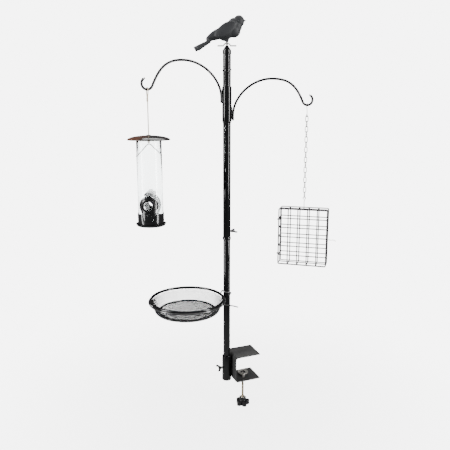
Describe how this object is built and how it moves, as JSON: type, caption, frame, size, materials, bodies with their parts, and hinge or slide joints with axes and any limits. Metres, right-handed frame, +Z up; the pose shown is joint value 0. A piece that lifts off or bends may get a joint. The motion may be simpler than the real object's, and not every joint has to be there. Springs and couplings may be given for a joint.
{
  "type": "bird feeder on pole",
  "caption": "Clamp-on pole with two hooked arms holding a clear tube feeder and a wire suet cage, a mesh tray on the pole and a bird figure on top.",
  "frame": {"origin": "centre of the clamp's upper jaw, on its underside, on the clamp screw's axis", "axes": "+Z up along the pole, +X the way the jaws reach away from the pole"},
  "size_m": [0.5263, 0.2297, 1.0506],
  "materials": {
    "black_gloss": "gloss black powder coat on steel",
    "black_satin": "satin black paint on steel sheet",
    "bright_steel": "plated bright steel",
    "zinc": "pressed zinc-plated steel, dull silver",
    "charcoal_plastic": "matt charcoal moulding",
    "black_plastic": "black moulded plastic, half gloss",
    "clear_plastic": "clear plastic tube",
    "cord": "twisted natural cord",
    "mesh": "fine woven wire mesh, grey",
    "dark_wire": "dark coated welded wire"
  },
  "bodies": {
    "clamp": {"clamp_bracket": "black_satin", "clamp_socket": "black_gloss", "clamp_nut": "bright_steel"},
    "jaw": {"pressure_disc": "bright_steel"},
    "clamp_handle": {"clamp_screw": "bright_steel", "clamp_knob": "black_plastic", "knob_insert": "bright_steel"},
    "socket_screw": {"socket_wing_screw": "black_gloss"},
    "pole": {"lower_pole": "black_gloss", "upper_pole": "black_gloss", "top_pole": "black_gloss", "joint_collar": "black_gloss", "pole_cap": "black_gloss"},
    "snap_button": {"snap_button": "black_gloss"},
    "joint_screw": {"joint_wing_screw": "black_gloss"},
    "top_screw": {"top_wing_screw": "black_gloss"},
    "wing_nut": {"bird_wing_nut": "zinc"},
    "bird": {"bird_figure": "charcoal_plastic", "bird_stud": "bright_steel"},
    "left_arm": {"left_sleeve": "black_gloss", "left_hook": "black_gloss"},
    "right_arm": {"right_sleeve": "black_gloss", "right_hook": "black_gloss"},
    "feeder": {"feeder_cord": "cord", "feeder_knot": "cord", "feeder_bail": "black_gloss", "feeder_tube": "clear_plastic", "front_port": "black_plastic", "back_port": "black_plastic", "feeder_base": "black_plastic", "feeder_saucer": "black_plastic", "seed_baffle": "black_plastic"},
    "feeder_roof": {"feeder_roof": "black_satin"},
    "chain_upper": {"chain_hook": "bright_steel", "chain_link_01": "bright_steel", "chain_link_02": "bright_steel", "chain_link_03": "bright_steel", "chain_link_04": "bright_steel", "chain_link_05": "bright_steel"},
    "chain_middle": {"chain_link_06": "bright_steel", "chain_link_07": "bright_steel", "chain_link_08": "bright_steel", "chain_link_09": "bright_steel", "chain_link_10": "bright_steel", "chain_link_11": "bright_steel"},
    "chain_lower": {"chain_link_12": "bright_steel", "chain_link_13": "bright_steel", "chain_link_14": "bright_steel", "chain_link_15": "bright_steel", "chain_link_16": "bright_steel", "cage_hook": "bright_steel"},
    "cage": {"cage_basket": "dark_wire"},
    "cage_door": {"cage_door": "dark_wire"},
    "cage_latch": {"cage_latch": "bright_steel"},
    "tray_holder": {"tray_hoop": "black_gloss", "tray_clip": "dark_wire"},
    "tray": {"tray_rim": "black_gloss", "tray_mesh": "mesh", "tray_base_ring": "black_gloss"}
  },
  "joints": [
    {"name": "jaw_slide", "type": "slide", "parent": "clamp", "child": "jaw", "axis": [0, 0, 1], "range_m": [0, 0.058]},
    {"name": "knob_turn", "type": "hinge", "parent": "jaw", "child": "clamp_handle", "pos_m": [0, 0, -0.1365], "axis": [0, 0, 1], "range_deg": [0, 20880]},
    {"name": "socket_screw_turn", "type": "hinge", "parent": "clamp", "child": "socket_screw", "pos_m": [-0.0591, 0, -0.034], "axis": [-1, 0, 0], "range_deg": [0, 1080]},
    {"name": "pole_turn", "type": "hinge", "parent": "clamp", "child": "pole", "pos_m": [-0.0495, 0, 0], "axis": [0, 0, 1], "continuous": true},
    {"name": "snap_button_press", "type": "slide", "parent": "pole", "child": "snap_button", "axis": [0, 1, 0], "range_m": [0, 0.0018], "stiffness_N_per_m": 400, "springref_m": -0.0015},
    {"name": "joint_screw_turn", "type": "hinge", "parent": "pole", "child": "joint_screw", "pos_m": [-0.0408, 0, 0.3538], "axis": [1, 0, 0], "range_deg": [0, 1080]},
    {"name": "top_screw_turn", "type": "hinge", "parent": "pole", "child": "top_screw", "pos_m": [-0.05276, -0.00807, 0.7624], "axis": [-0.3746, -0.9272, 0], "range_deg": [0, 1080]},
    {"name": "wing_nut_turn", "type": "hinge", "parent": "pole", "child": "wing_nut", "pos_m": [-0.0495, 0, 0.822], "axis": [0, 0, 1], "range_deg": [0, 1080]},
    {"name": "bird_turn", "type": "hinge", "parent": "pole", "child": "bird", "pos_m": [-0.0495, 0, 0.83], "axis": [0, 0, 1], "continuous": true},
    {"name": "left_arm_turn", "type": "hinge", "parent": "pole", "child": "left_arm", "pos_m": [-0.0495, 0, 0.6817], "axis": [0, 0, 1], "range_deg": [-60, 60]},
    {"name": "right_arm_turn", "type": "hinge", "parent": "pole", "child": "right_arm", "pos_m": [-0.0495, 0, 0.6385], "axis": [0, 0, 1], "range_deg": [-60, 60]},
    {"name": "feeder_swing", "type": "hinge", "parent": "left_arm", "child": "feeder", "pos_m": [-0.25783, -0.02116, 0.7132], "axis": [-0.9949, -0.1011, 0], "range_deg": [-30, 30]},
    {"name": "roof_slide", "type": "slide", "parent": "feeder", "child": "feeder_roof", "axis": [0, 0, 1], "range_m": [0, 0.065]},
    {"name": "chain_swing", "type": "hinge", "parent": "right_arm", "child": "chain_upper", "pos_m": [0.15411, -0.04888, 0.68], "axis": [0.9724, -0.2334, 0], "range_deg": [-25, 25]},
    {"name": "chain_bend_upper", "type": "hinge", "parent": "chain_upper", "child": "chain_middle", "pos_m": [0.15411, -0.04888, 0.58585], "axis": [0.2334, 0.9724, 0], "range_deg": [-20, 20]},
    {"name": "chain_bend_lower", "type": "hinge", "parent": "chain_middle", "child": "chain_lower", "pos_m": [0.15411, -0.04888, 0.50665], "axis": [0.9724, -0.2334, 0], "range_deg": [-20, 20]},
    {"name": "cage_swing", "type": "hinge", "parent": "chain_lower", "child": "cage", "pos_m": [0.15411, -0.04888, 0.40985], "axis": [0.788, -0.6157, 0], "range_deg": [-25, 25]},
    {"name": "cage_door_open", "type": "hinge", "parent": "cage", "child": "cage_door", "pos_m": [0.09001, -0.02697, 0.33385], "axis": [0, 0, -1], "range_deg": [0, 110]},
    {"name": "cage_latch_turn", "type": "hinge", "parent": "cage", "child": "cage_latch", "pos_m": [0.19285, -0.10326, 0.33385], "axis": [0, 0, 1], "range_deg": [0, 80]},
    {"name": "tray_height", "type": "slide", "parent": "pole", "child": "tray_holder", "axis": [0, 0, 1], "range_m": [-0.06, 0.065]},
    {"name": "tray_lift", "type": "slide", "parent": "tray_holder", "child": "tray", "axis": [0, 0, 1], "range_m": [0, 0.06]}
  ],
  "couplings": [
    {"joint": "jaw_slide", "follows": "knob_turn", "m_per_rad": 0.00015915}
  ]
}
